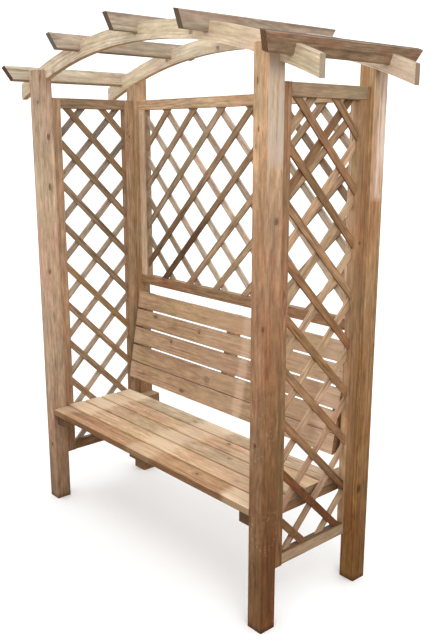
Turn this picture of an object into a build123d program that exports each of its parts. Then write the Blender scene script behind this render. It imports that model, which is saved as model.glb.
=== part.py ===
from build123d import *
import math
import os

os.makedirs("parts", exist_ok=True)

# Arched garden arbour with a built-in bench. Millimetres, +X to the right as
# seen from the open front, +Y to the back, +Z up. The origin is on the ground,
# in the middle of the footprint.

# ---- driving dimensions -------------------------------------------------
width = 1480.0            # over the outer faces of the posts
depth = 580.0             # over the front and back faces of the posts
post = 70.0               # square post
post_height = 2000.0
post_edge = 3.0           # eased edges of a post

arch_thick = 26.0         # board thickness, front to back
arch_half = 898.0         # centre line to the plumb-cut end
arch_radius_low = 2350.0  # underside of the arch
arch_depth = 64.0         # underside to top edge
arch_centre_z = -289.0    # height of the arc's centre
arch_edge = 3.0

purlin_thick = 27.0
purlin_depth = 60.0
purlin_length = 760.0
purlin_slant = 30.0       # the underside is this much shorter at each end
purlin_proud = 24.0       # top of a purlin above the top of the arch
purlin_edge = 2.0
housing = 18.0            # depth of each half of the crossing joint
purlin_angle = {          # degrees around the arc's centre; purlins stand square to the arch
    "left_outer_purlin": -19.2,
    "left_inner_purlin": -9.6,
    "centre_purlin": 0.0,
    "right_inner_purlin": 9.6,
    "right_outer_purlin": 19.2,
}

stile_width = 50.0
frame_thick = 35.0        # thickness of a panel frame
rail_height = 45.0
rail_thick = 30.0         # side rails are a little thinner than the stiles
rail_lap = 35.0           # the right top rail runs this far into its rear stile
panel_top = 1886.0
side_panel_bottom = 219.0
back_panel_bottom = 1006.0
frame_edge = 2.0

lath_width = 28.0
lath_thick = 8.0
lath_pitch = 186.5        # corner to corner of one diamond
side_lath_z = 1335.0      # height where two laths cross on the centre line
back_lath_z = 1360.0

seat_top = 460.0
seat_thick = 28.0
seat_slat = 83.8
seat_gap = 8.0
seat_edge = 4.0

bearer_width = 65.0
bearer_depth = 50.0
bearer_front = 273.0      # front end, ahead of the centre line
bearer_back = 285.0
cleat_width = 42.0        # packing piece beside the middle bearer
cleat_depth = 22.0
cleat_length = 110.0

back_tilt = 10.0          # degrees from upright
back_foot_y = 147.0       # lower front edge of the backrest
back_foot_z = 537.0
back_slat = 80.5
back_thick = 20.0
back_gaps = [4.0, 10.0, 10.0, 10.0]   # from the lowest gap up
back_edge = 3.0
batten = 45.0

# ---- derived -------------------------------------------------------------
half_x = width / 2
half_y = depth / 2
inner_x = half_x - post
inner_y = half_y - post
post_x = half_x - post / 2
post_y = half_y - post / 2
arch_radius_top = arch_radius_low + arch_depth
stile_side_y = inner_y - stile_width / 2
opening_y = inner_y - stile_width
opening_x = inner_x - stile_width
panel_x = post_x
panel_y = post_y


def on_arch(angle, radius):
    """X and Z of the point at this angle and radius about the arc's centre."""
    a = math.radians(angle)
    return radius * math.sin(a), arch_centre_z + radius * math.cos(a)


# ---- posts ----------------------------------------------------------------
# Each post is housed on its inner side at the top, where the arch board lies.
for name, px, py in (
    ("front_left_post", -post_x, -post_y),
    ("front_right_post", post_x, -post_y),
    ("rear_left_post", -post_x, post_y),
    ("rear_right_post", post_x, post_y),
):
    with BuildPart() as upright:
        with BuildSketch(Plane.XY):
            with Locations((px, py)):
                Rectangle(post, post)
        extrude(amount=post_height)
        chamfer(upright.edges().filter_by(Axis.Z), length=post_edge)
        chamfer(upright.faces().sort_by(Axis.Z)[-1].edges(), length=post_edge)
        # housing for the arch, cut to the curve of its underside
        housing_start = inner_y if py < 0 else -inner_y - arch_thick
        with BuildSketch(Plane.XZ.offset(housing_start)):
            with Locations((px, post_height)):
                Rectangle(post * 2, 400)
            with Locations((0, arch_centre_z)):
                Circle(arch_radius_low, mode=Mode.SUBTRACT)
        extrude(amount=arch_thick, mode=Mode.SUBTRACT)
    upright.part.label = name
    export_step(upright.part, f"parts/{name}.step")

# ---- arches ---------------------------------------------------------------
for name, start in (
    ("front_arch", inner_y),
    ("rear_arch", -inner_y - arch_thick),
):
    with BuildPart() as arch:
        with BuildSketch(Plane.XZ.offset(start)):
            with Locations((0, arch_centre_z)):
                Circle(arch_radius_top)
                Circle(arch_radius_low, mode=Mode.SUBTRACT)
            with Locations((0, 2000)):
                Rectangle(2 * arch_half, 800, mode=Mode.INTERSECT)
        extrude(amount=arch_thick)
        chamfer(
            arch.edges().filter_by(GeomType.CIRCLE).group_by(SortBy.RADIUS)[-1],
            length=arch_edge,
        )
        # open housings for the purlins, half of each crossing joint
        mid_y = -start - arch_thick / 2
        for angle in purlin_angle.values():
            x, z = on_arch(angle, arch_radius_top - housing)
            with Locations(Location((x, mid_y, z), (0, angle, 0))):
                Box(
                    purlin_thick,
                    arch_thick * 2,
                    housing * 3,
                    align=(Align.CENTER, Align.CENTER, Align.MIN),
                    mode=Mode.SUBTRACT,
                )
    arch.part.label = name
    export_step(arch.part, f"parts/{name}.step")

# ---- purlins ----------------------------------------------------------------
# Each purlin is drawn in the plane through the arc's centre and the Y axis.
for name, angle in purlin_angle.items():
    a = math.radians(angle)
    x, z = on_arch(angle, arch_radius_top)
    half = purlin_length / 2
    side = Plane(
        origin=(x, 0, z),
        x_dir=(0, 1, 0),
        z_dir=(math.cos(a), 0, -math.sin(a)),
    )
    with BuildPart() as purlin:
        with BuildSketch(side):
            with BuildLine():
                Polyline(
                    (-half, purlin_proud),
                    (half, purlin_proud),
                    (half - purlin_slant, purlin_proud - purlin_depth),
                    (-half + purlin_slant, purlin_proud - purlin_depth),
                    close=True,
                )
            make_face()
        extrude(amount=purlin_thick / 2, both=True)
        chamfer(purlin.edges().filter_by(Axis.Y), length=purlin_edge)
        x, z = on_arch(angle, arch_radius_top - housing)
        for y in (-inner_y - arch_thick / 2, inner_y + arch_thick / 2):
            with Locations(Location((x, y, z), (0, angle, 0))):
                Box(
                    purlin_thick * 2,
                    arch_thick,
                    housing * 3,
                    align=(Align.CENTER, Align.CENTER, Align.MAX),
                    mode=Mode.SUBTRACT,
                )
    purlin.part.label = name
    export_step(purlin.part, f"parts/{name}.step")

# ---- side panels -----------------------------------------------------------
side_height = panel_top - side_panel_bottom
side_low = side_panel_bottom + rail_height
side_high = panel_top - rail_height

for side, cx in (("left", -panel_x), ("right", panel_x)):
    # stiles run the full height of the panel, against the posts
    for end, cy in (("front", -stile_side_y), ("rear", stile_side_y)):
        with BuildPart() as stile:
            with BuildSketch(Plane.XY.offset(side_panel_bottom)):
                with Locations((cx, cy)):
                    Rectangle(frame_thick, stile_width)
            extrude(amount=side_height)
            chamfer(stile.edges().filter_by(Axis.Z), length=frame_edge)
            if (side, end) == ("right", "rear"):
                # cut away at the top for the end of the top rail
                with Locations((cx, opening_y, side_high)):
                    Box(
                        frame_thick * 2,
                        rail_lap * 2,
                        rail_height * 2,
                        align=(Align.CENTER, Align.CENTER, Align.MIN),
                        mode=Mode.SUBTRACT,
                    )
        stile.part.label = f"{side}_panel_{end}_stile"
        export_step(stile.part, f"parts/{side}_panel_{end}_stile.step")

    # rails fit between the stiles, apart from the right top rail
    for level, z in (("bottom", side_panel_bottom), ("top", side_high)):
        lap = rail_lap if (side, level) == ("right", "top") else 0.0
        with BuildPart() as rail:
            with BuildSketch(Plane.XZ.offset(-opening_y - lap)):
                with Locations((cx, z + rail_height / 2)):
                    Rectangle(rail_thick, rail_height)
            extrude(amount=2 * opening_y + lap)
            chamfer(rail.edges().filter_by(Axis.Y), length=frame_edge)
        rail.part.label = f"{side}_panel_{level}_rail"
        export_step(rail.part, f"parts/{side}_panel_{level}_rail.step")

    # two layers of laths that cross at right angles
    with BuildPart() as lattice:
        for layer, slope in ((cx, -45), (cx - lath_thick, 45)):
            with BuildSketch(Plane.YZ.offset(layer)):
                for k in range(-6, 4):
                    with Locations((0, side_lath_z + k * lath_pitch)):
                        Rectangle(1400, lath_width, rotation=slope)
                with Locations((0, (side_low + side_high) / 2)):
                    Rectangle(2 * opening_y, side_high - side_low, mode=Mode.INTERSECT)
            extrude(amount=lath_thick)
    lattice.part.label = f"{side}_panel_lattice"
    export_step(lattice.part, f"parts/{side}_panel_lattice.step")

# ---- back panel -------------------------------------------------------------
back_low = back_panel_bottom + rail_height
back_high = panel_top - rail_height

# rails run from post to post
for level, z in (("bottom", back_panel_bottom), ("top", back_high)):
    with BuildPart() as back_rail:
        with BuildSketch(Plane.YZ.offset(-inner_x)):
            with Locations((panel_y, z + rail_height / 2)):
                Rectangle(frame_thick, rail_height)
        extrude(amount=2 * inner_x)
        chamfer(back_rail.edges().filter_by(Axis.X), length=frame_edge)
    back_rail.part.label = f"back_panel_{level}_rail"
    export_step(back_rail.part, f"parts/back_panel_{level}_rail.step")

# stiles stand between the rails
for side, cx in (("left", -inner_x + stile_width / 2), ("right", inner_x - stile_width / 2)):
    with BuildPart() as back_stile:
        with BuildSketch(Plane.XY.offset(back_low)):
            with Locations((cx, panel_y)):
                Rectangle(stile_width, frame_thick)
        extrude(amount=back_high - back_low)
        chamfer(back_stile.edges().filter_by(Axis.Z), length=frame_edge)
    back_stile.part.label = f"back_panel_{side}_stile"
    export_step(back_stile.part, f"parts/back_panel_{side}_stile.step")

with BuildPart() as back_lattice:
    for layer, slope in ((-panel_y, 45), (-panel_y - lath_thick, -45)):
        with BuildSketch(Plane.XZ.offset(layer)):
            for k in range(-4, 6):
                with Locations((0, back_lath_z + k * lath_pitch)):
                    Rectangle(2400, lath_width, rotation=slope)
            with Locations((0, (back_low + back_high) / 2)):
                Rectangle(2 * opening_x, back_high - back_low, mode=Mode.INTERSECT)
        extrude(amount=lath_thick)
back_lattice.part.label = "back_panel_lattice"
export_step(back_lattice.part, "parts/back_panel_lattice.step")

# ---- seat -----------------------------------------------------------------
# The front slat fits between the front posts, flush with their faces. The
# others reach the side panels.
for i in range(5):
    y_front = -half_y + i * (seat_slat + seat_gap)
    half_length = inner_x - 1 if i == 0 else panel_x - frame_thick / 2 - 1
    with BuildPart() as slat:
        with BuildSketch(Plane.YZ.offset(-half_length)):
            with Locations((y_front + seat_slat / 2, seat_top - seat_thick / 2)):
                RectangleRounded(seat_slat, seat_thick, seat_edge)
        extrude(amount=2 * half_length)
    slat.part.label = f"seat_slat_{i + 1}"
    export_step(slat.part, f"parts/seat_slat_{i + 1}.step")

bearer_top = seat_top - seat_thick
for side, cx in (("left", -inner_x + bearer_width / 2), ("right", inner_x - bearer_width / 2)):
    with BuildPart() as bearer:
        with BuildSketch(Plane.XZ.offset(-bearer_back)):
            with Locations((cx, bearer_top - bearer_depth / 2)):
                Rectangle(bearer_width, bearer_depth)
        extrude(amount=bearer_front + bearer_back)
        chamfer(bearer.edges().filter_by(Axis.Y), length=frame_edge)
    bearer.part.label = f"{side}_seat_bearer"
    export_step(bearer.part, f"parts/{side}_seat_bearer.step")

with BuildPart() as middle_bearer:
    with BuildSketch(Plane.XZ.offset(-140)):
        with Locations((0, bearer_top - bearer_depth / 2)):
            Rectangle(bearer_width, bearer_depth)
    extrude(amount=140 + bearer_front)
    chamfer(middle_bearer.edges().filter_by(Axis.Y), length=frame_edge)
    with Locations((-bearer_width / 2 - cleat_width / 2 + 3, -bearer_front, bearer_top)):
        Box(
            cleat_width + 6,
            cleat_length,
            cleat_depth,
            align=(Align.CENTER, Align.MIN, Align.MAX),
        )
middle_bearer.part.label = "middle_seat_bearer"
export_step(middle_bearer.part, "parts/middle_seat_bearer.step")

# ---- backrest ----------------------------------------------------------------
# The face of the backrest leans back. Its plane has local x along +X and
# local y up the slope.
lean = math.radians(back_tilt)
back_face = Plane(
    origin=(0, back_foot_y, back_foot_z),
    x_dir=(1, 0, 0),
    z_dir=(0, -math.cos(lean), math.sin(lean)),
)
back_half = inner_x - 2

foot = 0.0
for i in range(5):
    number = 5 - i
    with BuildPart() as back_board:
        with BuildSketch(back_face):
            with Locations((0, foot + back_slat / 2)):
                Rectangle(2 * back_half, back_slat)
        extrude(amount=-back_thick)
        fillet(back_board.edges().filter_by(Axis.X), radius=back_edge)
    back_board.part.label = f"back_slat_{number}"
    export_step(back_board.part, f"parts/back_slat_{number}.step")
    if i < 4:
        foot += back_slat + back_gaps[i]
back_length = foot + back_slat

for side, cx in (
    ("left", -inner_x + batten / 2),
    ("middle", 0.0),
    ("right", inner_x - batten / 2),
):
    with BuildPart() as support:
        with BuildSketch(back_face.offset(-back_thick)):
            with Locations((cx, back_length / 2)):
                Rectangle(batten, back_length - 12)
        extrude(amount=-batten)
    support.part.label = f"{side}_back_batten"
    export_step(support.part, f"parts/{side}_back_batten.step")
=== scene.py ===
import math
import random

import bmesh
import bpy
from mathutils import Matrix, Vector


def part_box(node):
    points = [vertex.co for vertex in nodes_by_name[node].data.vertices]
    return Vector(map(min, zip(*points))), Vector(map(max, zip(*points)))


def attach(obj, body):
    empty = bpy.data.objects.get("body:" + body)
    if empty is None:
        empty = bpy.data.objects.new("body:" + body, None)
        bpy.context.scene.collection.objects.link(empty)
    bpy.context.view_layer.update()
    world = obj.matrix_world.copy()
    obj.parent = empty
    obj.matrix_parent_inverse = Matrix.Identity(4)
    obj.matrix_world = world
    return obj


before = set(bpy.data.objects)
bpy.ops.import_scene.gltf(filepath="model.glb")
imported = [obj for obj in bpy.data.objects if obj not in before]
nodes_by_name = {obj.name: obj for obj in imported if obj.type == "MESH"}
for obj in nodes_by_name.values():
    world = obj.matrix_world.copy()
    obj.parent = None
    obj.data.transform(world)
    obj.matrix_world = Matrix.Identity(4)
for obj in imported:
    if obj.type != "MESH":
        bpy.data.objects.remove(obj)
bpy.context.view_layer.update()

scene = bpy.context.scene

# ---- sizes that the looks share with the construction, in metres --------------
ARCH_CENTRE_Z = -0.289
ARCH_MIDDLE = 2.382        # radius of the middle of the arch board
ARCH_TOP = 2.414
PURLIN_ANGLE = {           # degrees around the arc's centre
    "left_outer_purlin": -19.2, "left_inner_purlin": -9.6, "centre_purlin": 0.0,
    "right_inner_purlin": 9.6, "right_outer_purlin": 19.2,
}
LEAN = math.radians(10.0)  # the backrest leans back by this much
BACK_FOOT = Vector((0.0, 0.147, 0.537))
PANEL_X = 0.705
PANEL_Y = 0.255
LATH_PITCH = 0.1865 / math.sqrt(2.0)
SIDE_LATH_Z = 1.335
BACK_LATH_Z = 1.360


def rgb(r, g, b):
    """Display colour, 0 to 255, as linear RGBA."""
    out = []
    for c in (r, g, b):
        c /= 255.0
        out.append(c / 12.92 if c <= 0.04045 else ((c + 0.055) / 1.055) ** 2.4)
    return (*out, 1.0)


# ---- small helper for node trees ------------------------------------------------
class Net:
    def __init__(self, tree):
        self.tree = tree

    def new(self, kind, **settings):
        node = self.tree.nodes.new(kind)
        for key, value in settings.items():
            setattr(node, key, value)
        return node

    def put(self, socket, value):
        if isinstance(value, bpy.types.NodeSocket):
            self.tree.links.new(value, socket)
        elif value is not None:
            socket.default_value = value

    def math(self, op, a, b=None, c=None, clamp=False):
        node = self.new("ShaderNodeMath", operation=op, use_clamp=clamp)
        for socket, value in zip(node.inputs, (a, b, c)):
            self.put(socket, value)
        return node.outputs[0]

    def add(self, a, b):
        return self.math("ADD", a, b)

    def sub(self, a, b):
        return self.math("SUBTRACT", a, b)

    def mul(self, a, b):
        return self.math("MULTIPLY", a, b)

    def vec(self, op, a, b=None, scale=None):
        node = self.new("ShaderNodeVectorMath", operation=op)
        self.put(node.inputs[0], a)
        if b is not None:
            self.put(node.inputs[1], b)
        if scale is not None:
            self.put(node.inputs["Scale"], scale)
        return node.outputs["Value" if op in ("LENGTH", "DISTANCE", "DOT_PRODUCT") else "Vector"]

    def split(self, v):
        node = self.new("ShaderNodeSeparateXYZ")
        self.put(node.inputs[0], v)
        return node.outputs

    def join(self, x, y, z):
        node = self.new("ShaderNodeCombineXYZ")
        for socket, value in zip(node.inputs, (x, y, z)):
            self.put(socket, value)
        return node.outputs[0]

    def noise(self, v, scale=1.0, detail=2.0, rough=0.5, distortion=0.0):
        node = self.new("ShaderNodeTexNoise", noise_dimensions="3D")
        self.put(node.inputs["Vector"], v)
        self.put(node.inputs["Scale"], scale)
        self.put(node.inputs["Detail"], detail)
        self.put(node.inputs["Roughness"], rough)
        self.put(node.inputs["Distortion"], distortion)
        return node.outputs[0]

    def step(self, x, low, high, out_low=0.0, out_high=1.0):
        node = self.new("ShaderNodeMapRange", interpolation_type="SMOOTHSTEP", clamp=True)
        for name, value in (("Value", x), ("From Min", low), ("From Max", high), ("To Min", out_low), ("To Max", out_high)):
            self.put(node.inputs[name], value)
        return node.outputs[0]

    def mix(self, factor, a, b, blend="MIX"):
        node = self.new("ShaderNodeMix", data_type="RGBA", blend_type=blend, clamp_factor=True)
        self.put(node.inputs[0], factor)
        self.put(node.inputs[6], a)
        self.put(node.inputs[7], b)
        return node.outputs[2]

    def blend(self, factor, a, b):
        node = self.new("ShaderNodeMix", data_type="FLOAT", clamp_factor=True)
        self.put(node.inputs[0], factor)
        self.put(node.inputs[2], a)
        self.put(node.inputs[3], b)
        return node.outputs[0]

    def bright(self, colour, value):
        """colour times value."""
        return self.vec("SCALE", colour, scale=value)


# ---- timber ---------------------------------------------------------------------
# One group makes planed softwood from a piece's own coordinates: x along the
# grain, y and z across it.
def make_timber_group():
    tree = bpy.data.node_groups.new("timber", "ShaderNodeTree")
    face = tree.interface
    for name, kind, default in (
        ("Place", "NodeSocketVector", (0, 0, 0)),
        ("Seed", "NodeSocketFloat", 0.0),
        ("Pith Y", "NodeSocketFloat", 0.0),
        ("Pith Z", "NodeSocketFloat", -0.06),
        ("Ring", "NodeSocketFloat", 0.006),
        ("Contrast", "NodeSocketFloat", 0.7),
        ("Light", "NodeSocketColor", (0.6, 0.4, 0.25, 1)),
        ("Dark", "NodeSocketColor", (0.35, 0.2, 0.1, 1)),
        ("Warm", "NodeSocketColor", (0.5, 0.28, 0.18, 1)),
        ("Cool", "NodeSocketColor", (0.4, 0.36, 0.24, 1)),
        ("Patches", "NodeSocketFloat", 0.5),
        ("Mottle", "NodeSocketFloat", 0.4),
        ("Knot", "NodeSocketFloat", 9.0),
        ("Knots", "NodeSocketFloat", 1.0),
        ("End", "NodeSocketFloat", 0.0),
        ("Edge", "NodeSocketFloat", 1.0),
        ("Shade", "NodeSocketFloat", 1.0),
    ):
        socket = face.new_socket(name=name, in_out="INPUT", socket_type=kind)
        socket.default_value = default
    for name, kind in (("Colour", "NodeSocketColor"), ("Roughness", "NodeSocketFloat"), ("Height", "NodeSocketFloat")):
        face.new_socket(name=name, in_out="OUTPUT", socket_type=kind)
    n = Net(tree)
    given = n.new("NodeGroupInput").outputs
    place, seed = given["Place"], given["Seed"]

    shift = n.join(n.mul(seed, 3.71), n.mul(seed, 1.37), n.mul(seed, 2.19))
    moved = n.vec("ADD", place, shift)
    own = n.split(place)

    def stretched(along, across):
        return n.vec("MULTIPLY", moved, (along, across, across))

    # knots: those that are listed, and a few more by chance
    scale = (1.25, 8.0, 8.0)
    cells = n.new("ShaderNodeTexVoronoi", voronoi_dimensions="3D", feature="F1")
    spot = n.vec("MULTIPLY", moved, scale)
    n.put(cells.inputs["Vector"], spot)
    n.put(cells.inputs["Scale"], 1.0)
    away = n.vec("DIVIDE", n.vec("SUBTRACT", spot, cells.outputs["Position"]), scale)
    luck = n.split(cells.outputs["Color"])
    size = n.add(0.004, n.mul(luck[0], 0.009))
    chance = n.math("DIVIDE", n.vec("LENGTH", n.vec("MULTIPLY", away, (0.75, 1.0, 1.0))), size)
    chance = n.add(chance, n.mul(n.sub(1.0, given["Knots"]), 20.0))
    rim = n.mul(n.sub(n.noise(stretched(60, 120), 1.0, 1.0), 0.5), 0.45)
    knot = n.add(n.math("MINIMUM", chance, given["Knot"]), rim)
    inside = n.step(knot, 1.12, 0.82)
    halo = n.step(knot, 3.4, 0.6)
    core = n.step(knot, 0.55, 0.1)

    # growth rings about the pith, which wanders along the piece
    wave_y = n.mul(n.sub(n.noise(stretched(1.3, 3.0), 1.0, 2.0), 0.5), 0.040)
    wave_z = n.mul(n.sub(n.noise(n.vec("ADD", stretched(1.3, 3.0), (7.3, 2.1, 5.5)), 1.0, 2.0), 0.5), 0.040)
    ripple = n.mul(n.sub(n.noise(stretched(14.0, 60.0), 1.0, 2.0), 0.5), 0.0022)
    dy = n.add(n.sub(own[1], given["Pith Y"]), wave_y)
    dz = n.add(n.sub(own[2], given["Pith Z"]), wave_z)
    radius = n.math("SQRT", n.add(n.mul(dy, dy), n.mul(dz, dz)))
    radius = n.add(n.add(radius, ripple), n.mul(halo, 0.009))
    turns = n.math("DIVIDE", radius, given["Ring"])
    turns = n.add(turns, n.mul(n.noise(n.join(n.mul(radius, 70.0), seed, 0.0), 1.0, 1.0), 1.6))
    saw = n.math("FRACT", turns)
    late = n.mul(n.step(saw, 0.25, 0.82), n.step(saw, 1.0, 0.88))

    # fibres and streaks along the grain
    fine = n.noise(stretched(5.0, 420.0), 1.0, 2.0, 0.6)
    streak = n.noise(stretched(2.2, 95.0), 1.0, 3.0, 0.6)
    broad = n.noise(stretched(1.1, 26.0), 1.0, 2.0, 0.55)
    cloud = n.noise(stretched(2.3, 9.0), 1.0, 3.0, 0.6)
    cloud_b = n.noise(n.vec("ADD", stretched(1.7, 11.0), (3.1, 8.7, 1.9)), 1.0, 3.0, 0.6)

    tone = n.add(n.mul(late, 0.50), n.mul(n.step(streak, 0.42, 0.72), 0.50))
    tone = n.add(tone, n.mul(n.sub(broad, 0.5), 1.1))
    tone = n.mul(n.math("ADD", tone, n.mul(n.sub(fine, 0.5), 0.35), clamp=True), given["Contrast"])
    colour = n.mix(tone, given["Light"], given["Dark"])
    colour = n.mix(n.mul(n.step(cloud, 0.44, 0.66), n.mul(given["Patches"], 0.85)), colour, given["Warm"])
    colour = n.mix(n.mul(n.step(cloud_b, 0.46, 0.68), n.mul(given["Patches"], 0.75)), colour, given["Cool"])
    colour = n.bright(colour, n.add(0.68, n.mul(n.noise(stretched(3.5, 14.0), 1.0, 3.0, 0.6), 0.64)))

    # weather mottling: dark and pale blotches, some of them tinted
    blot = n.noise(n.vec("ADD", stretched(16.0, 78.0), (5.2, 1.1, 8.3)), 1.0, 4.0, 0.65)
    colour = n.bright(colour, n.add(1.0, n.mul(n.mul(n.sub(blot, 0.5), 2.3), given["Mottle"])))
    tint = n.noise(n.vec("ADD", stretched(7.0, 26.0), (2.9, 6.6, 0.7)), 1.0, 3.0, 0.6)
    colour = n.mix(n.mul(n.step(tint, 0.52, 0.70), n.mul(given["Mottle"], 0.55)), colour, given["Cool"])
    colour = n.mix(n.mul(n.step(tint, 0.46, 0.30), n.mul(given["Mottle"], 0.55)), colour, given["Warm"])

    # drying cracks, thin and along the grain
    line = n.math("ABSOLUTE", n.sub(n.noise(n.vec("ADD", stretched(0.8, 34.0), (1.7, 4.4, 9.1)), 1.0, 1.0), 0.5))
    where = n.step(n.noise(stretched(2.0, 7.0), 1.0, 1.0), 0.60, 0.68)
    crack = n.mul(n.step(line, 0.010, 0.002), where)
    colour = n.bright(colour, n.sub(1.0, n.mul(crack, 0.55)))

    # knots are darker and redder, with a dark rim
    knot_colour = n.mix(core, n.bright(n.mix(0.5, given["Dark"], given["Warm"]), 0.62), n.bright(given["Dark"], 0.34))
    colour = n.bright(colour, n.sub(1.0, n.mul(halo, 0.16)))
    colour = n.mix(n.mul(inside, 0.92), colour, knot_colour)
    ring_line = n.mul(n.step(n.math("ABSOLUTE", n.sub(knot, 1.0)), 0.26, 0.04), 0.38)
    colour = n.bright(colour, n.sub(1.0, ring_line))

    # sawn ends take up more water and look darker
    pores = n.noise(moved, 900.0, 2.0, 0.6)
    end_colour = n.bright(n.mix(n.mul(late, 0.7), n.mix(0.55, given["Light"], given["Dark"]), n.bright(given["Dark"], 0.6)), n.add(0.50, n.mul(pores, 0.24)))
    colour = n.mix(given["End"], colour, end_colour)

    # arrises are rubbed a little paler here and there, with grime beside them
    broken = n.noise(n.vec("MULTIPLY", moved, (16.0, 60.0, 60.0)), 1.0, 3.0, 0.65)
    wear_and_sun_streaks = n.mul(n.step(given["Edge"], 0.0045, 0.0005), n.step(broken, 0.40, 0.62))
    grime_and_shade = n.mul(n.mul(n.step(given["Edge"], 0.011, 0.003), n.step(given["Edge"], 0.001, 0.005)), n.step(broken, 0.60, 0.42))
    colour = n.mix(n.mul(wear_and_sun_streaks, 0.35), colour, n.bright(given["Light"], 1.08))
    colour = n.bright(colour, n.sub(1.0, n.mul(grime_and_shade, 0.16)))
    colour = n.bright(colour, given["Shade"])

    rough = n.add(0.62, n.mul(n.sub(streak, 0.5), 0.25))
    rough = n.add(rough, n.mul(given["End"], 0.18))
    rough = n.sub(rough, n.mul(inside, 0.12))
    height = n.add(n.mul(late, 0.30), n.mul(fine, 0.30))
    height = n.add(height, n.mul(streak, 0.35))
    height = n.sub(height, n.mul(crack, 1.6))
    height = n.add(height, n.mul(inside, 0.35))
    height = n.add(height, n.mul(n.mul(given["End"], pores), 0.8))

    out = n.new("NodeGroupOutput")
    n.put(out.inputs["Colour"], colour)
    n.put(out.inputs["Roughness"], rough)
    n.put(out.inputs["Height"], height)
    return tree


TIMBER = make_timber_group()


class Look:
    """Colours of one lot of timber."""

    def __init__(self, light, dark, warm, cool, contrast=0.75, patches=0.5, ring=0.006, knots=1.0, mottle=0.4):
        self.light, self.dark, self.warm, self.cool = rgb(*light), rgb(*dark), rgb(*warm), rgb(*cool)
        self.contrast, self.patches, self.ring, self.knots, self.mottle = contrast, patches, ring, knots, mottle


def place_box(n, position, centre, order):
    """Coordinates of a straight piece that lies along an axis: order names the axis of the grain first."""
    parts = n.split(n.vec("SUBTRACT", position, tuple(centre)))
    return n.join(*(parts["XYZ".index(axis)] for axis in order))


def place_lean(n, position, centre):
    """Coordinates of a board of the backrest: x along it, y up the slope, z out of its face."""
    parts = n.split(n.vec("SUBTRACT", position, tuple(centre)))
    c, s = math.cos(LEAN), math.sin(LEAN)
    up = n.add(n.mul(parts[1], s), n.mul(parts[2], c))
    out = n.add(n.mul(parts[1], -c), n.mul(parts[2], s))
    return parts[0], up, out


def place_arch(n, position, middle_y):
    """Coordinates of an arch: x along the curve, y across its depth, z through the board."""
    parts = n.split(position)
    high = n.sub(parts[2], ARCH_CENTRE_Z)
    along = n.mul(n.math("ARCTAN2", parts[0], high), ARCH_MIDDLE)
    across = n.sub(n.math("SQRT", n.add(n.mul(parts[0], parts[0]), n.mul(high, high))), ARCH_MIDDLE)
    return n.join(along, across, n.sub(parts[1], middle_y))


def place_purlin(n, position, angle):
    """Coordinates of a purlin: x along it, y up its depth, z through the board."""
    a = math.radians(angle)
    middle = ARCH_TOP + 0.024 - 0.030
    parts = n.split(n.vec("SUBTRACT", position, (middle * math.sin(a), 0.0, ARCH_CENTRE_Z + middle * math.cos(a))))
    up = n.add(n.mul(parts[0], math.sin(a)), n.mul(parts[2], math.cos(a)))
    out = n.sub(n.mul(parts[0], math.cos(a)), n.mul(parts[2], math.sin(a)))
    return n.join(parts[1], up, out)


def edge_of(n, place, half):
    """Distance to the nearest arris of a board with these half sizes."""
    parts = n.split(place)
    gaps = [n.sub(h, n.math("ABSOLUTE", p)) for h, p in zip(half, parts)]
    most = n.math("MAXIMUM", n.math("MAXIMUM", gaps[0], gaps[1]), gaps[2])
    least = n.math("MINIMUM", n.math("MINIMUM", gaps[0], gaps[1]), gaps[2])
    total = n.add(n.add(gaps[0], gaps[1]), gaps[2])
    return n.sub(n.sub(total, most), least)


def knots_of(n, position, knots, axis):
    """Distance to the nearest knot, in knot radii. A knot is (x, y, z, radius, stretch along the grain)."""
    nearest = None
    for x, y, z, radius, stretch in knots:
        size = [radius, radius, radius]
        size["XYZ".index(axis)] = radius * stretch
        d = n.vec("LENGTH", n.vec("DIVIDE", n.vec("SUBTRACT", position, (x, y, z)), tuple(size)))
        nearest = d if nearest is None else n.math("MINIMUM", nearest, d)
    return 9.0 if nearest is None else nearest


def new_material(name):
    material = bpy.data.materials.new(name)
    material.use_nodes = True
    material.node_tree.nodes.clear()
    n = Net(material.node_tree)
    surface = n.new("ShaderNodeBsdfPrincipled")
    out = n.new("ShaderNodeOutputMaterial")
    n.put(out.inputs["Surface"], surface.outputs[0])
    return material, n, surface


def use_timber(n, surface, look, place, seed, pith, knot=9.0, end=0.0, edge=1.0, shade=1.0, bump=0.0011, colours=None,
               stains=()):
    """Joins the timber group to the surface. A stain is (share, colour, blend): blend is MULTIPLY for the wet feet, for
    tints, and for painted shade and light by height or side, MIX for painted sunlight and lichen.
    """
    group = n.new("ShaderNodeGroup", node_tree=TIMBER)
    light, dark, warm, cool = colours or (look.light, look.dark, look.warm, look.cool)
    for name, value in (
        ("Place", place), ("Seed", seed), ("Pith Y", pith[0]), ("Pith Z", pith[1]), ("Ring", look.ring),
        ("Contrast", look.contrast), ("Light", light), ("Dark", dark), ("Warm", warm), ("Cool", cool),
        ("Patches", look.patches), ("Mottle", look.mottle), ("Knot", knot),
        ("Knots", look.knots), ("End", end), ("Edge", edge), ("Shade", shade),
    ):
        n.put(group.inputs[name], value)
    colour = group.outputs["Colour"]
    for share, tint, blend in stains:
        colour = n.mix(share, colour, tint, blend)
    relief = n.new("ShaderNodeBump")
    n.put(relief.inputs["Strength"], 0.55)
    n.put(relief.inputs["Distance"], bump)
    n.put(relief.inputs["Height"], group.outputs["Height"])
    n.put(surface.inputs["Base Color"], colour)
    n.put(surface.inputs["Roughness"], group.outputs["Roughness"])
    n.put(surface.inputs["Normal"], relief.outputs["Normal"])
    surface.inputs["Specular IOR Level"].default_value = 0.25


def start(n):
    position = n.new("ShaderNodeTexCoord").outputs["Object"]
    normal = n.new("ShaderNodeNewGeometry").outputs["True Normal"]
    return position, normal


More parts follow.
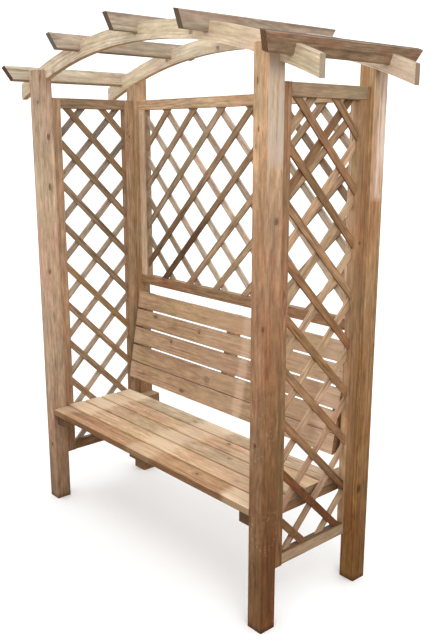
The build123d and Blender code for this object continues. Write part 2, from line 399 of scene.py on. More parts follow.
def by_height(n, position, start, full, ragged=0.16):
    """0 at the first height and 1 at the second, with an uneven edge that follows the grain of an upright."""
    z = n.split(position)[2]
    wander = n.mul(n.sub(n.noise(n.vec("MULTIPLY", position, (30.0, 30.0, 4.0)), 1.0, 3.0, 0.6), 0.5), 2.0 * ragged)
    node = n.new("ShaderNodeMapRange", interpolation_type="LINEAR", clamp=True)
    for name, value in (("Value", n.add(z, wander)), ("From Min", start), ("From Max", full)):
        n.put(node.inputs[name], value)
    return node.outputs[0]


def facing(n, normal, axis, sign):
    """1 on faces that look along an axis."""
    return n.step(n.mul(n.split(normal)["XYZ".index(axis)], sign), 0.4, 0.8)


def sun_patch_stains(n, position, shaded, stretches, tint, ragged):
    """Stains that paint sunlit patches along x: painted light, streaked by the grain and left off shaded faces.

    A stretch is (middle, half length, share).
    """
    stains = []
    streak = n.step(n.noise(n.vec("MULTIPLY", position, (5.0, 140.0, 140.0)), 1.0, 4.0, 0.65), 0.34, 0.62, 0.45, 1.0)
    streak = n.mul(streak, n.sub(1.0, shaded))
    for middle, length, most in stretches:
        wander = n.mul(n.sub(n.noise(n.vec("MULTIPLY", position, (9.0, 22.0, 22.0)), 1.0, 3.0, 0.6), 0.5), ragged)
        off = n.math("ABSOLUTE", n.sub(n.add(n.split(position)[0], wander), middle))
        soft = min(0.03, 0.6 * length)
        share = n.mul(n.step(off, length + soft, length - soft), 1.25 * most)
        stains.append((n.mul(share, streak), (*tint, 1.0), "MIX"))
    return stains


def dress(node, material):
    obj = nodes_by_name[node]
    obj.data.materials.clear()
    obj.data.materials.append(material)


def straight(node, look, order, seed, pith, knots=(), tone=1.0, damp_and_shade=(), sunlit_top=None, faces=(), sun_patches=(), specks=None):
    """Dresses a straight piece whose grain runs along the first axis in order.

    Height stains are (height where it starts, height where it is full, colour, raggedness, side); side is None for all
    round. The FOOT stain darkens the feet, where they have drawn up water; the others are painted shade where they
    darken a piece and painted light where they lighten it.
    The sunlit top is (height where it starts, height where it is full, share, colour, y where thin, y where thick):
    painted sunlight on the upper +X side.
    faces are (side, colour): painted shade on sides tinted darker and painted light on sides tinted lighter. A side is
    (axis, sign). The sun patches are painted sunlit patches along x, given as (middle, half length, share). specks is
    (lowest height, highest height, share) for small flecks of lichen.
    """
    low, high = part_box(node)
    centre, half = (low + high) / 2, (high - low) / 2
    material, n, surface = new_material(node)
    position, normal = start(n)
    place = place_box(n, position, centre, order)
    half = tuple(half["XYZ".index(axis)] for axis in order)
    end = n.step(n.math("ABSOLUTE", n.split(normal)["XYZ".index(order[0])]), 0.72, 0.86)
    stains = []
    # Painted sunlight on the upper +X side, broken into streaks along the grain.
    if sunlit_top:
        from_z, full_z, most, tint, thin_y, thick_y = sunlit_top
        share = n.mul(by_height(n, position, from_z, full_z, 0.02), facing(n, normal, "X", 1.0))
        share = n.mul(share, n.step(n.split(position)[1], thin_y, thick_y, 0.25, 1.0))
        wear_and_sun_streaks = n.step(n.noise(n.vec("MULTIPLY", place, (5.0, 70.0, 70.0)), 1.0, 4.0, 0.65), 0.34, 0.60, 0.15, 1.0)
        stains.append((n.mul(n.mul(share, wear_and_sun_streaks), most), (*tint, 1.0), "MIX"))
    # Painted sunlit patches along x.
    if sun_patches:
        stains += sun_patch_stains(n, position, facing(n, normal, "Z", -1.0), sun_patches, (0.84, 0.66, 0.455), 0.10)
    # Damp at the feet; elsewhere painted shade and light by height.
    for from_z, full_z, tint, ragged, side in damp_and_shade:
        share = by_height(n, position, from_z, full_z, ragged)
        if side:
            share = n.mul(share, facing(n, normal, *side))
        stains.append((share, (*tint, 1.0), "MULTIPLY"))
    # Painted shade and light on whole sides.
    for side, tint in faces:
        stains.append((facing(n, normal, *side), (*tint, 1.0), "MULTIPLY"))
    if specks:
        low_z, high_z, most = specks
        flecks = n.step(n.noise(n.vec("MULTIPLY", position, (85.0, 85.0, 85.0)), 1.0, 3.0, 0.6), 0.54, 0.72)
        flecks = n.mul(flecks, n.step(n.noise(n.vec("MULTIPLY", position, (16.0, 16.0, 10.0)), 1.0, 2.0, 0.5), 0.48, 0.62))
        height = n.split(position)[2]
        flecks = n.mul(flecks, n.mul(n.step(height, low_z - 0.1, low_z + 0.1), n.step(height, high_z + 0.1, high_z - 0.1)))
        stains.append((n.mul(flecks, most), (0.42, 0.37, 0.25, 1.0), "MIX"))
    use_timber(n, surface, look, place, seed, pith, knots_of(n, position, knots, order[0]), end, edge_of(n, place, half), tone, stains=stains)
    dress(node, material)


# ---- lots of timber --------------------------------------------------------------
POST_LEFT = Look((214, 188, 161), (156, 122, 93), (202, 156, 132), (188, 170, 132), 0.75, 0.7, 0.008, 0.8, 0.7)
POST_FRONT = Look((224, 183, 143), (166, 120, 80), (210, 152, 114), (192, 170, 132), 0.6, 0.65, 0.008, 0.7, 0.8)
POST_RIGHT = Look((200, 166, 130), (126, 90, 58), (180, 126, 92), (170, 142, 90), 0.9, 0.75, 0.010, 0.8, 0.7)
ARCH = Look((238, 222, 197), (190, 170, 140), (232, 202, 174), (212, 200, 160), 0.85, 0.7, 0.005, 0.6, 0.5)
POST_REAR = Look((216, 192, 161), (146, 114, 82), (198, 154, 124), (186, 166, 122), 0.85, 0.7, 0.009, 0.8, 0.7)
PURLIN = Look((194, 177, 159), (130, 110, 90), (184, 150, 130), (162, 152, 128), 0.9, 0.7, 0.006, 1.0, 0.6)
PURLIN_PALE = Look((216, 205, 181), (147, 130, 105), (206, 178, 154), (186, 180, 150), 0.85, 0.7, 0.006, 0.3, 0.5)
PURLIN_RIGHT = Look((184, 155, 127), (98, 73, 52), (164, 114, 92), (146, 128, 98), 0.95, 0.75, 0.006, 1.0, 0.9)
FRAME = Look((190, 152, 116), (122, 89, 60), (170, 114, 84), (150, 128, 88), 0.85, 0.7, 0.005, 1.0, 0.7)
FRAME_LEFT = Look((197, 167, 135), (130, 101, 74), (182, 134, 108), (160, 142, 106), 0.85, 0.7, 0.005, 1.0, 0.7)
FRAME_RIGHT = Look((174, 135, 101), (110, 78, 51), (158, 106, 80), (138, 114, 76), 0.85, 0.7, 0.005, 1.0, 0.7)
RAIL = Look((219, 191, 156), (158, 123, 87), (208, 160, 124), (192, 170, 124), 0.85, 0.65, 0.005, 1.0, 0.6)
RAIL_GREY = Look((176, 155, 127), (120, 97, 73), (166, 130, 106), (150, 138, 100), 0.75, 0.65, 0.005, 0.6, 0.5)
STILE_PALE = Look((229, 205, 176), (174, 144, 114), (218, 172, 148), (204, 186, 152), 0.75, 0.6, 0.005, 1.0, 0.5)
SEAT = Look((228, 195, 160), (168, 126, 90), (214, 166, 130), (216, 194, 146), 0.85, 0.75, 0.006, 0.6, 0.6)
SEAT_FRONT = Look((214, 173, 134), (154, 109, 73), (202, 148, 110), (200, 171, 123), 0.85, 0.75, 0.006, 0.6, 0.6)
SEAT_GREY = Look((217, 193, 160), (160, 126, 91), (206, 166, 132), (204, 190, 146), 0.85, 0.75, 0.006, 0.6, 0.6)
BACK = Look((206, 171, 139), (144, 108, 78), (198, 148, 118), (190, 164, 120), 0.9, 0.75, 0.006, 1.0, 0.6)
BEARER = Look((160, 128, 94), (108, 80, 54), (140, 102, 74), (132, 116, 84), 0.8, 0.5, 0.006, 1.0, 0.5)

# ---- posts -------------------------------------------------------------------------
# The feet have drawn up damp. The other height and side tints on the posts are painted shade and light: the right-hand
# posts darken towards the bottom with painted shade, and their upper +X sides carry painted sunlight.
FOOT = (0.024, 0.003, (0.46, 0.43, 0.40), 0.008, None)
# Painted shade darkens this post towards the bottom and a little above 1.7 m. The tints near the foot on the +X and
# front sides, and on the whole +X side, are painted shade and light.
straight("front_left_post", POST_LEFT, "ZXY", 1.3, (0.012, -0.018),
         damp_and_shade=[(1.10, 0.0, (0.46, 0.38, 0.31), 0.2, None), (1.62, 1.74, (0.89, 0.87, 0.87), 0.05, None),
               (0.34, 0.20, (0.88, 0.83, 0.80), 0.06, ("X", 1.0)), (0.34, 0.20, (1.06, 1.10, 1.18), 0.06, ("Y", -1.0)), FOOT],
         faces=[(("X", 1.0), (1.02, 1.05, 1.09))], knots=[
    (-0.670, -0.248, 1.718, 0.008, 1.6), (-0.670, -0.254, 1.500, 0.005, 3.0), (-0.670, -0.274, 1.120, 0.006, 1.6),
    (-0.676, -0.290, 1.863, 0.006, 1.4), (-0.700, -0.290, 0.276, 0.008, 1.0),
])
# Painted shade darkens this post towards the bottom, with a painted shadow edge at about 1.6 m. The +X tints below that
# are painted shade and light, and the pale upper +X side is painted sunlight.
straight("front_right_post", POST_FRONT, "ZXY", 2.7, (-0.020, 0.010),
         damp_and_shade=[(1.75, 0.25, (0.32, 0.26, 0.195), 0.3, None), (1.625, 1.595, (0.84, 0.82, 0.83), 0.02, None),
               (1.40, 1.05, (0.84, 0.74, 0.64), 0.25, ("X", 1.0)), (0.85, 0.5, (0.94, 0.87, 0.78), 0.2, ("X", 1.0)),
               (0.95, 1.15, (0.94, 1.0, 1.07), 0.1, ("X", 1.0)), FOOT],
         sunlit_top=(1.60, 1.65, 0.75, (0.62, 0.52, 0.42), -0.32, -0.30), specks=(0.30, 0.90, 0.6), knots=[
    (0.690, -0.290, 1.884, 0.003, 4.0), (0.697, -0.290, 1.742, 0.003, 2.6), (0.686, -0.290, 1.690, 0.002, 4.0),
    (0.740, -0.248, 1.458, 0.007, 1.4), (0.729, -0.290, 1.113, 0.005, 1.6), (0.699, -0.290, 0.703, 0.005, 1.4),
])
# Painted shade darkens this post towards the bottom in steps.
straight("rear_left_post", POST_REAR, "ZXY", 3.9, (0.016, 0.022),
         damp_and_shade=[(1.78, 1.60, (0.80, 0.74, 0.66), 0.06, None), (1.25, 0.95, (0.92, 0.86, 0.78), 0.1, None),
               (1.0, -0.05, (0.62, 0.56, 0.50), 0.16, None), FOOT])
# Painted shade darkens this post towards the bottom, with a painted shadow edge at about 1.5 m on the +X side. The pale
# upper +X side is painted sunlight, and the lighter front side with its paler band low down is painted light.
straight("rear_right_post", POST_RIGHT, "ZXY", 5.1, (-0.010, -0.024),
         damp_and_shade=[(1.60, 0.0, (0.48, 0.39, 0.26), 0.25, None), (1.51, 1.49, (0.86, 0.82, 0.75), 0.01, ("X", 1.0)),
               (1.0, 0.7, (0.88, 0.84, 0.74), 0.2, ("X", 1.0)), (1.15, 0.95, (0.97, 0.88, 0.74), 0.1, ("Y", -1.0)),
               (0.72, 0.55, (1.50, 1.58, 1.60), 0.05, ("Y", -1.0)), (0.30, 0.20, (0.58, 0.52, 0.48), 0.04, ("Y", -1.0)), FOOT],
         faces=[(("Y", -1.0), (1.14, 1.26, 1.24))],
         sunlit_top=(1.49, 1.515, 0.95, (0.78, 0.65, 0.54), 0.234, 0.254), knots=[
    (0.740, 0.232, 0.397, 0.008, 1.6), (0.740, 0.286, 0.961, 0.005, 1.4), (0.690, 0.220, 1.300, 0.006, 1.4),
])

# ---- arches -------------------------------------------------------------------------
for name, middle_y, seed, knots in (
    ("front_arch", -0.233, 6.2, [(0.318, -0.246, 2.062, 0.007, 1.3), (-0.610, -0.246, 1.985, 0.006, 1.3)]),
    ("rear_arch", 0.233, 7.6, [(-0.075, 0.220, 2.076, 0.007, 1.3), (-0.420, 0.220, 2.050, 0.006, 1.3)]),
):
    material, n, surface = new_material(name)
    position, normal = start(n)
    place = place_arch(n, position, middle_y)
    end = n.step(n.math("ABSOLUTE", n.split(normal)[0]), 0.78, 0.9)
    top_tint = (0.62, 0.60, 0.62, 1.0) if name == "front_arch" else (0.42, 0.39, 0.36, 1.0)
    stains = [(facing(n, normal, "Z", 1.0), top_tint, "MULTIPLY")]
    if name == "rear_arch":
        stains += [(end, (0.76, 0.70, 0.70, 1.0), "MULTIPLY"), (facing(n, normal, "Y", -1.0), (1.04, 1.08, 1.13, 1.0), "MULTIPLY")]
    use_timber(n, surface, ARCH, place, seed, (0.008, -0.05), knots_of(n, position, knots, "X"), n.mul(end, 0.9),
               edge_of(n, place, (0.95, 0.032, 0.013)), stains=stains)
    dress(name, material)

# ---- purlins --------------------------------------------------------------------------
# Their sawn ends are darker end grain, and their tops are darker. On top of that, the tint on the end of the left outer
# purlin is painted shade and the tints on the other ends are painted light.
for i, (name, look, tone, end_tint, top_tint) in enumerate((
    ("left_outer_purlin", PURLIN_PALE, 1.0, (0.55, 0.40, 0.38), (0.42, 0.42, 0.40)),
    ("left_inner_purlin", PURLIN, 0.95, (1.20, 1.42, 1.70), (0.46, 0.46, 0.47)),
    ("centre_purlin", PURLIN, 1.0, (0.98, 1.0, 1.08), (0.50, 0.50, 0.52)),
    ("right_inner_purlin", PURLIN, 0.87, (1.20, 1.18, 1.15), (0.48, 0.48, 0.49)),
    ("right_outer_purlin", PURLIN_RIGHT, 0.86, (1.80, 1.62, 1.36), (0.25, 0.23, 0.19)),
)):
    material, n, surface = new_material(name)
    position, normal = start(n)
    place = place_purlin(n, position, PURLIN_ANGLE[name])
    end = n.step(n.math("ABSOLUTE", n.split(normal)[1]), 0.72, 0.86)
    stains = [(end, (*end_tint, 1.0), "MULTIPLY"), (facing(n, normal, "Z", 1.0), (*top_tint, 1.0), "MULTIPLY")]
    use_timber(n, surface, look, place, 11.3 + 1.7 * i, (0.015 - 0.006 * i, -0.04 if i % 2 else 0.045), 9.0, end,
               edge_of(n, place, (0.38, 0.030, 0.0135)), tone, stains=stains)
    dress(name, material)

# ---- panel frames -----------------------------------------------------------------------
# The darker sides, and the darkening towards the bottom, on the frames are painted shade.
for k, end in enumerate(("front", "rear")):
    straight(f"left_panel_{end}_stile", FRAME_LEFT, "ZYX", 21.1 + 0.9 * k, (0.012 - 0.02 * k, 0.035),
             damp_and_shade=[(0.9, 0.2, (0.60, 0.52, 0.45), 0.25, None)], faces=[(("Y", -1.0), (0.74, 0.66, 0.58))])
straight("right_panel_front_stile", FRAME_RIGHT, "ZYX", 23.4, (0.012, 0.035),
         damp_and_shade=[(1.3, 0.3, (0.62, 0.54, 0.44), 0.25, None)])
straight("right_panel_rear_stile", RAIL, "ZYX", 24.3, (-0.008, 0.035), tone=0.8,
         faces=[(("X", 1.0), (0.67, 0.56, 0.45)), (("Y", -1.0), (0.98, 0.89, 0.83))],
         damp_and_shade=[(1.3, 0.3, (0.70, 0.62, 0.52), 0.25, ("X", 1.0)), (0.55, 0.30, (0.90, 0.78, 0.58), 0.1, ("X", 1.0))])
straight("left_panel_top_rail", FRAME_LEFT, "YZX", 26.4, (0.01, -0.04), tone=0.80)
straight("left_panel_bottom_rail", FRAME, "YZX", 28.9, (-0.012, 0.04), tone=0.55,
         faces=[(("X", 1.0), (0.82, 0.74, 0.64))])
straight("right_panel_top_rail", RAIL_GREY, "YZX", 27.4, (0.01, -0.04))
straight("right_panel_bottom_rail", RAIL_GREY, "YZX", 29.9, (-0.012, 0.04), tone=0.92,
         faces=[(("Z", 1.0), (0.44, 0.34, 0.26))])
straight("back_panel_top_rail", RAIL, "XZY", 31.7, (0.01, 0.04))
straight("back_panel_bottom_rail", FRAME, "XZY", 32.7, (0.01, 0.04), tone=0.79)
for i, side in enumerate(("left", "right")):
    straight(f"back_panel_{side}_stile", STILE_PALE, "ZXY", 34.2 + i, (0.01, -0.04), tone=1.08,
             faces=[(("X", 1.0), (0.52, 0.48, 0.43))])


# ---- lattices ---------------------------------------------------------------------------
# The two layers of laths differ a little in colour, and every lath has its own
# grain and tone.
LATH_LEFT = Look((168, 144, 116), (100, 81, 59), (156, 114, 78), (140, 124, 92), 0.85, 0.65, 0.004, 0.7, 0.7)
LATH_LEFT_REAR = Look((194, 179, 158), (127, 114, 98), (186, 156, 136), (168, 157, 134), 0.85, 0.65, 0.004, 0.7, 0.7)
LATH_RIGHT = Look((172, 137, 102), (100, 72, 46), (158, 112, 78), (142, 119, 82), 0.85, 0.65, 0.004, 0.7, 0.7)
LATH_RIGHT_REAR = Look((198, 170, 138), (146, 116, 87), (188, 145, 115), (176, 154, 115), 0.85, 0.65, 0.004, 0.7, 0.7)
LATH_BACK = Look((197, 167, 137), (130, 105, 81), (186, 142, 108), (168, 150, 114), 0.85, 0.65, 0.004, 0.7, 0.7)
LATH_BACK_REAR = Look((208, 190, 169), (149, 130, 111), (198, 166, 146), (182, 171, 146), 0.85, 0.65, 0.004, 0.7, 0.7)


def lattice(node, flat_axis, plane, cross_z, rising_first, first_look, second_look, seed, damp_and_shade=(), laths=()):
    """Dresses a lattice. The first layer is the one on the +X or the -Y side of the panel.

    A height stain is (layer, height where it starts, height where it is full, colour): painted shade on that layer.
    laths are (layer, lowest number, highest number, colour, heights) for browner or paler laths, counted from the one
    through the middle; heights are those where the colour starts and is full, or None for the whole lath.
    """
    material, n, surface = new_material(node)
    position, normal = start(n)
    inner = n.split(n.vec("SUBTRACT", position, n.vec("SCALE", normal, scale=0.002)))
    parts = n.split(position)
    across = parts[1] if flat_axis == "X" else parts[0]
    through = parts[0] if flat_axis == "X" else parts[1]
    deep = inner[0] if flat_axis == "X" else inner[1]
    up = n.sub(parts[2], cross_z)
    first = n.math("GREATER_THAN", deep, plane) if flat_axis == "X" else n.math("LESS_THAN", deep, plane)
    rising = n.mul(n.add(across, up), math.sqrt(0.5))
    falling = n.mul(n.sub(across, up), math.sqrt(0.5))
    is_rising = first if rising_first else n.sub(1.0, first)
    along = n.blend(is_rising, falling, rising)
    side = n.blend(is_rising, rising, falling)
    number = n.math("ROUND", n.math("DIVIDE", side, LATH_PITCH))
    own = n.sub(side, n.mul(number, LATH_PITCH))
    luck = n.new("ShaderNodeTexWhiteNoise", noise_dimensions="3D")
    n.put(luck.inputs["Vector"], n.join(number, n.mul(first, 7.0), seed))
    chance = n.split(luck.outputs["Color"])
    place = n.join(n.add(along, n.mul(chance[0], 3.0)), own, n.sub(through, plane))
    variety = n.add(seed, n.mul(chance[1], 5.0))
    patchy = n.noise(n.vec("ADD", n.vec("MULTIPLY", place, (8.0, 8.0, 8.0)), n.join(variety, 0.0, 0.0)), 1.0, 3.0, 0.6)
    tone = n.mul(n.add(0.93, n.mul(chance[2], 0.14)), n.add(0.66, n.mul(patchy, 0.68)))
    light, dark, warm, cool = (n.mix(first, b, a) for a, b in (
        (first_look.light, second_look.light), (first_look.dark, second_look.dark),
        (first_look.warm, second_look.warm), (first_look.cool, second_look.cool)))
    light = n.mix(n.mul(n.step(chance[1], 0.62, 0.92), 0.35), light, warm)
    edge = edge_of(n, n.join(0.0, own, n.sub(n.math("ABSOLUTE", n.sub(through, plane)), 0.004)), (9.0, 0.014, 0.004))
    layers = {1: first, 2: n.sub(1.0, first)}
    stains = []
    for layer, from_z, full_z, tint in damp_and_shade:
        stains.append((n.mul(by_height(n, position, from_z, full_z, 0.1), layers[layer]), (*tint, 1.0), "MULTIPLY"))
    for layer, least, most, tint, heights in laths:
        off = n.math("ABSOLUTE", n.sub(number, (least + most) / 2))
        share = n.mul(n.math("LESS_THAN", off, (most - least) / 2 + 0.5), layers[layer])
        if heights:
            share = n.mul(share, by_height(n, position, *heights, 0.06))
        stains.append((share, (*tint, 1.0), "MULTIPLY"))
    use_timber(n, surface, first_look, place, variety, (0.004, 0.03), 9.0, 0.0, edge, tone,
               colours=(light, dark, warm, cool), stains=stains)
    dress(node, material)


# The height stains on the lattices below are painted shade.
lattice("left_panel_lattice", "X", -PANEL_X, SIDE_LATH_Z, False, LATH_LEFT, LATH_LEFT_REAR, 41.3,
        damp_and_shade=[(2, 1.50, 1.72, (0.60, 0.62, 0.66))],
        laths=[(1, -2, -2, (1.25, 1.28, 1.15), None), (1, 1, 1, (0.86, 0.81, 0.78), None)])
lattice("right_panel_lattice", "X", PANEL_X, SIDE_LATH_Z, False, LATH_RIGHT, LATH_RIGHT_REAR, 43.9,
        damp_and_shade=[(1, 0.66, 0.42, (0.48, 0.36, 0.28)), (2, 0.70, 0.40, (0.82, 0.82, 0.82)), (2, 1.72, 1.80, (0.80, 0.84, 0.88))],
        laths=[(1, -5, -5, (0.82, 0.66, 0.54), None), (1, -6, -6, (1.3, 1.5, 1.7), None), (2, -2, -2, (0.52, 0.42, 0.33), None),
               (1, -2, -1, (0.92, 0.81, 0.73), None), (1, 1, 1, (0.87, 0.80, 0.72), None), (2, 4, 5, (0.84, 0.80, 0.80), None)])
lattice("back_panel_lattice", "Y", PANEL_Y, BACK_LATH_Z, True, LATH_BACK, LATH_BACK_REAR, 46.1,
        laths=[(1, -5, -3, (0.76, 0.79, 0.82), None), (1, -3, -3, (1.35, 1.42, 1.5), (1.60, 1.75)),
               (1, -2, -1, (0.74, 0.70, 0.65), None), (1, -2, -2, (0.62, 0.60, 0.54), (1.50, 1.38)),
               (1, -1, -1, (0.38, 0.32, 0.27), (1.48, 1.28)), (2, -4, -3, (0.64, 0.60, 0.54), None),
               (2, 4, 4, (0.52, 0.45, 0.38), None), (2, -1, 0, (1.12, 1.14, 1.15), None), (2, 1, 1, (0.84, 0.82, 0.80), None)])

# ---- seat ----------------------------------------------------------------------------------
seat_knots = {
    1: [(0.331, -0.240, 0.460, 0.006, 1.6)],
    2: [(0.480, -0.170, 0.460, 0.005, 2.2)],
    3: [(0.308, -0.050, 0.460, 0.006, 1.8)],
    4: [(0.192, 0.050, 0.460, 0.006, 1.8), (-0.360, 0.020, 0.460, 0.003, 2.0)],
    5: [(-0.100, 0.110, 0.460, 0.004, 2.0)],
}
# The front and rear sides of the slats are darkened with painted shade, most of all on the front one.
# Painted sunlit patches lie in one line across the seat.
for i, (look, tone, sun_patches) in enumerate((
    (SEAT_FRONT, 0.81, [(-0.67, 0.10, 0.38), (0.0, 0.08, 0.42), (0.62, 0.10, 0.95)]),
    (SEAT, 0.95, [(-0.63, 0.12, 0.75), (0.01, 0.09, 0.65), (0.45, 0.20, 0.28)]),
    (SEAT_GREY, 0.88, [(-0.63, 0.12, 1.0), (-0.02, 0.09, 0.65), (0.48, 0.18, 0.35)]),
    (SEAT, 0.95, [(-0.63, 0.12, 0.75), (0.0, 0.09, 0.60), (0.40, 0.12, 0.38)]),
    (SEAT_GREY, 0.85, [(-0.63, 0.13, 1.0), (0.02, 0.10, 0.60)]),
)):
    # Painted shade on the front sides, darkest on the front slat, and on the rear sides.
    grime_and_shade = (0.46, 0.40, 0.33) if i == 0 else (0.97, 0.84, 0.71)
    faces = [(("Y", -1.0), grime_and_shade), (("Y", 1.0), (0.68, 0.60, 0.52))]
    if i == 4:
        # Painted light on the +X end of the rear slat.
        faces.append((("X", 1.0), (1.7, 1.55, 1.5)))
    straight(f"seat_slat_{i + 1}", look, "XYZ", 51.7 + 1.9 * i, (0.012 * (-1) ** i, -0.045 if i % 2 else -0.065),
             seat_knots[i + 1], tone=tone, faces=faces, sun_patches=sun_patches)
# The lighter tops of the side bearers and the lighter front of the middle bearer are painted light.
for i, (name, side, tint) in enumerate((
    ("left_seat_bearer", ("Z", 1.0), (1.45, 1.6, 1.7)), ("middle_seat_bearer", ("Y", -1.0), (1.4, 1.4, 1.15)),
    ("right_seat_bearer", ("Z", 1.0), (1.45, 1.5, 1.5)),
)):
    straight(name, BEARER, "YXZ", 63.2 + 1.3 * i, (0.02, -0.02), faces=[(side, tint)])

# ---- backrest --------------------------------------------------------------------------------
back_knots = {
    1: [(0.350, 0.220, 0.930, 0.007, 1.4)],
    2: [(-0.182, 0.202, 0.846, 0.005, 1.2), (0.023, 0.208, 0.880, 0.004, 1.2), (-0.515, 0.204, 0.862, 0.006, 2.2)],
    3: [(-0.374, 0.188, 0.767, 0.006, 1.4), (0.402, 0.194, 0.800, 0.012, 1.4)],
    4: [(-0.091, 0.167, 0.652, 0.013, 1.4)],
    5: [(-0.254, 0.151, 0.562, 0.007, 2.2), (0.300, 0.158, 0.600, 0.007, 1.3)],
}
for i in range(5):
    name = f"back_slat_{i + 1}"
    low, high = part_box(name)
    centre = (low + high) / 2
    material, n, surface = new_material(name)
    position, normal = start(n)
    along, up, out = place_lean(n, position, centre)
    place = n.join(along, up, out)
    end = n.step(n.math("ABSOLUTE", n.split(normal)[0]), 0.72, 0.86)
    # Painted sunlit patches across the backrest, left off the rear faces.
    stretches = [(-0.67, 0.05, 0.35), (0.0, 0.14, 0.22), (0.128, 0.026, 0.65), (0.49, 0.09, 0.25), (0.66, 0.085, 0.85)]
    stains = sun_patch_stains(n, position, facing(n, normal, "Y", 1.0), stretches, (0.69, 0.49, 0.34), 0.03)
    stains.append((facing(n, normal, "X", 1.0), (0.78, 0.60, 0.44, 1.0), "MULTIPLY"))
    use_timber(n, surface, BACK, place, 71.3 + 1.7 * i, (0.012 * (-1) ** i, 0.05 if i % 2 else -0.05),
               knots_of(n, position, back_knots[i + 1], "X"), end, edge_of(n, place, (0.668, 0.04025, 0.010)),
               (0.88, 0.87, 0.81, 0.79, 0.80)[i], stains=stains)
    dress(name, material)
for i, name in enumerate(("left_back_batten", "middle_back_batten", "right_back_batten")):
    low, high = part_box(name)
    material, n, surface = new_material(name)
    position, normal = start(n)
    along, up, out = place_lean(n, position, (low + high) / 2)
    place = n.join(up, along, out)
    end = n.step(n.math("ABSOLUTE", n.vec("DOT_PRODUCT", normal, (0.0, math.sin(LEAN), math.cos(LEAN)))), 0.72, 0.86)
    use_timber(n, surface, BEARER, place, 83.1 + 1.1 * i, (0.015, -0.02), 9.0, end, edge_of(n, place, (0.2122, 0.0225, 0.0225)),
               (1.0, 1.9, 1.1)[i])
    dress(name, material)

# ---- fixings -----------------------------------------------------------------------------------
# Brads hold the laths where they cross. Screws hold the backrest from behind, the
# purlins from their left sides, the front arch from the inside and the rear arch
# from behind its posts. Their heads are true to scale and stand a little proud.
def on_face(point, out):
    """The place of a head whose axis points out of a face."""
    return Matrix.Translation(point) @ Vector(out).to_track_quat("Z", "Y").to_matrix().to_4x4()


def ring(bm, place, radius, height, angles):
    return [bm.verts.new(place @ Vector((radius * math.cos(a), radius * math.sin(a), height))) for a in angles]


def bands(bm, rings):
    for lower, upper in zip(rings, rings[1:]):
        for i in range(len(lower)):
            j = (i + 1) % len(lower)
            bm.faces.new((lower[i], lower[j], upper[j], upper[i]))
    bm.faces.new(rings[0][::-1])


def brad(bm, place):
    """A round head, 3 mm across."""
    angles = [math.tau * i / 12 for i in range(12)]
    sizes = ((0.0015, -0.0003), (0.0015, 0.0002), (0.0012, 0.0004), (0.0006, 0.0005))
    rings = [ring(bm, place, radius, height, angles) for radius, height in sizes]
    bands(bm, rings)
    bm.faces.new(rings[-1])


def screw(bm, place):
    """A countersunk head, 8 mm across, with a cross recess."""
    arm, half, top, bottom = 0.0022, 0.0006, 0.0007, 0.0001
    outline = []
    for quarter in range(4):
        c, s = round(math.cos(quarter * math.pi / 2)), round(math.sin(quarter * math.pi / 2))
        outline += [(c * x - s * y, s * x + c * y) for x, y in ((arm, -half), (arm, half), (half, half))]
    corners = [math.atan2(y, x) % math.tau for x, y in outline]
    angles = []
    for a, b in zip(corners, corners[1:] + corners[:1]):
        angles += [a, a + ((b - a) % math.tau) / 2]
    rings = [ring(bm, place, radius, height, angles) for radius, height in ((0.004, -0.0003), (0.004, 0.0002), (0.0034, top))]
    bands(bm, rings)
    rim = [bm.verts.new(place @ Vector((x, y, top))) for x, y in outline]
    bed = [bm.verts.new(place @ Vector((x, y, bottom))) for x, y in outline]
    for i in range(12):
        j = (i + 1) % 12
        bm.faces.new((rings[-1][2 * i], rings[-1][2 * i + 1], rings[-1][(2 * i + 2) % 24], rim[j], rim[i]))
        bm.faces.new((rim[i], rim[j], bed[j], bed[i]))
    bm.faces.new(bed)


steel, n, surface = new_material("fixing_steel")
spot = n.new("ShaderNodeTexCoord").outputs["Object"]
scuffed = n.noise(n.vec("MULTIPLY", spot, (900.0, 900.0, 900.0)), 1.0, 3.0, 0.6)
rusty = n.step(n.noise(n.vec("MULTIPLY", spot, (170.0, 170.0, 170.0)), 1.0, 3.0, 0.6), 0.52, 0.68)
plated = n.mix(scuffed, rgb(128, 122, 112), rgb(184, 178, 166))
n.put(surface.inputs["Base Color"], n.mix(n.mul(rusty, 0.8), plated, n.mix(scuffed, rgb(92, 60, 40), rgb(136, 92, 62))))
n.put(surface.inputs["Roughness"], n.add(n.add(0.34, n.mul(scuffed, 0.2)), n.mul(rusty, 0.3)))
relief = n.new("ShaderNodeBump")
n.put(relief.inputs["Strength"], 0.4)
n.put(relief.inputs["Distance"], 0.0002)
n.put(relief.inputs["Height"], n.add(scuffed, rusty))
n.put(surface.inputs["Normal"], relief.outputs["Normal"])
surface.inputs["Metallic"].default_value = 0.85


def fixings(name, make, spots):
    """One piece made of like heads. A spot is (point, direction out of the face)."""
    bm = bmesh.new()
    for point, out in spots:
        make(bm, on_face(point, out))
    mesh = bpy.data.meshes.new(name)
    bm.to_mesh(mesh)
    bm.free()
    mesh.materials.append(steel)
    piece = bpy.data.objects.new(name, mesh)
    scene.collection.objects.link(piece)
    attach(piece, "root")


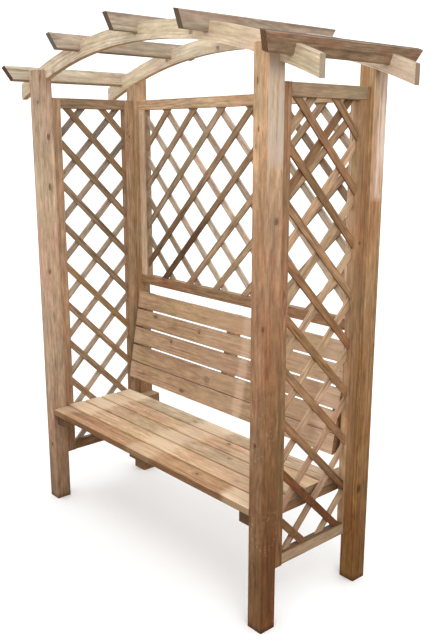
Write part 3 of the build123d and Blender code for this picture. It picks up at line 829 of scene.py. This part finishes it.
STEP = 0.1865 / 2          # the crossings lie this far apart, level and upright
crossings = [(j, s) for j in range(-6, 7) for s in range(-11, 6) if (j + s) % 2 == 0]
for side, x in (("left", -PANEL_X), ("right", PANEL_X)):
    fixings(f"{side}_panel_brads", brad, [
        ((x + 0.008, j * STEP, SIDE_LATH_Z + s * STEP), (1, 0, 0)) for j, s in crossings if abs(j) < 2])
fixings("back_panel_brads", brad, [
    ((j * STEP, PANEL_Y - 0.008, BACK_LATH_Z + s * STEP), (0, -1, 0)) for j, s in crossings if s >= -3])
up_slope, behind = Vector((0, math.sin(LEAN), math.cos(LEAN))), Vector((0, math.cos(LEAN), -math.sin(LEAN)))
fixings("backrest_screws", screw, [
    (Vector((x, 0, 0)) + BACK_FOOT + up_slope * u + behind * 0.065, behind)
    for x in (-0.6475, 0.0, 0.6475) for u in (0.04025, 0.12475, 0.21525, 0.30575, 0.39625)])
spots = []
for angle in PURLIN_ANGLE.values():
    a = math.radians(angle)
    across, reach = Vector((math.cos(a), 0, -math.sin(a))), ARCH_TOP + 0.010
    spots += [(Vector((reach * math.sin(a), y, ARCH_CENTRE_Z + reach * math.cos(a))) - across * 0.0135, -across) for y in (-0.233, 0.233)]
fixings("purlin_screws", screw, spots)
fixings("arch_screws", screw, [
    ((x, y, ARCH_CENTRE_Z + math.sqrt(ARCH_MIDDLE ** 2 - x * x)), (0, 1, 0))
    for x in (-0.722, -0.688, 0.688, 0.722) for y in (-0.220, 0.290)])

# ---- camera ------------------------------------------------------------------------------------
# The picture is 440 by 640.
yaw, pitch, roll = math.radians(48.7057), math.radians(13.4694), math.radians(-0.0549)
ahead = Vector((-math.sin(yaw) * math.cos(pitch), math.cos(yaw) * math.cos(pitch), -math.sin(pitch)))
right = Vector((math.cos(yaw), math.sin(yaw), 0.0))
down = ahead.cross(right)
right, down = math.cos(roll) * right + math.sin(roll) * down, -math.sin(roll) * right + math.cos(roll) * down
camera_data = bpy.data.cameras.new("camera")
camera = bpy.data.objects.new("camera", camera_data)
scene.collection.objects.link(camera)
turned = Matrix((right, -down, -ahead)).transposed()
camera.matrix_world = Matrix.Translation((2.4507, -1.9950, 1.7182)) @ turned.to_4x4()
camera_data.sensor_fit = "AUTO"
camera_data.sensor_width = 36.0
camera_data.lens = 772.87 * 36.0 / 640.0
camera_data.shift_x = (220.0 - 218.05) / 640.0
camera_data.shift_y = (322.03 - 320.0) / 640.0
camera_data.clip_end = 1000.0
scene.camera = camera

# ---- floor and light -------------------------------------------------------------------------------
scene.view_settings.view_transform = "Standard"
scene.view_settings.look = "None"

floor_mesh = bpy.data.meshes.new("floor")
floor_mesh.from_pydata([(-300, -300, 0), (300, -300, 0), (300, 300, 0), (-300, 300, 0)], [], [(0, 1, 2, 3)])
floor = bpy.data.objects.new("floor", floor_mesh)
scene.collection.objects.link(floor)
floor_look, n, surface = new_material("floor")
spot = n.new("ShaderNodeTexCoord").outputs["Object"]
n.put(surface.inputs["Base Color"], n.mix(n.noise(spot, 3.0, 3.0), rgb(250, 250, 249), rgb(253, 253, 252)))
surface.inputs["Roughness"].default_value = 0.9
surface.inputs["Specular IOR Level"].default_value = 0.1
floor_mesh.materials.append(floor_look)
floor.visible_diffuse = False
floor.visible_glossy = False

world = bpy.data.worlds.new("studio")
scene.world = world
world.use_nodes = True
world.node_tree.nodes.clear()
n = Net(world.node_tree)
up = n.split(n.new("ShaderNodeTexCoord").outputs["Generated"])[2]
sky = n.new("ShaderNodeBackground")
above = n.mix(n.step(up, 0.18, 0.40), (1.0, 1.0, 1.0, 1.0), (0.98, 0.99, 1.0, 1.0))
n.put(sky.inputs["Color"], n.mix(n.step(up, -0.06, 0.0), (0.26, 0.20, 0.15, 1.0), above))
sky.inputs["Strength"].default_value = 1.4
n.put(n.new("ShaderNodeOutputWorld").inputs["Surface"], sky.outputs[0])


def area_light(name, spot, aim, size, power, colour=(1.0, 1.0, 1.0)):
    data = bpy.data.lights.new(name, "AREA")
    data.shape = "DISK"
    data.size = size
    data.energy = power
    data.color = colour
    lamp = bpy.data.objects.new(name, data)
    scene.collection.objects.link(lamp)
    lamp.location = spot
    lamp.rotation_euler = (Vector(aim) - Vector(spot)).to_track_quat("-Z", "Y").to_euler()
    return lamp


area_light("key", (3.6, -1.5, 4.2), (0.4, 0.0, 1.4), 2.0, 42.0, (1.0, 0.98, 0.96))
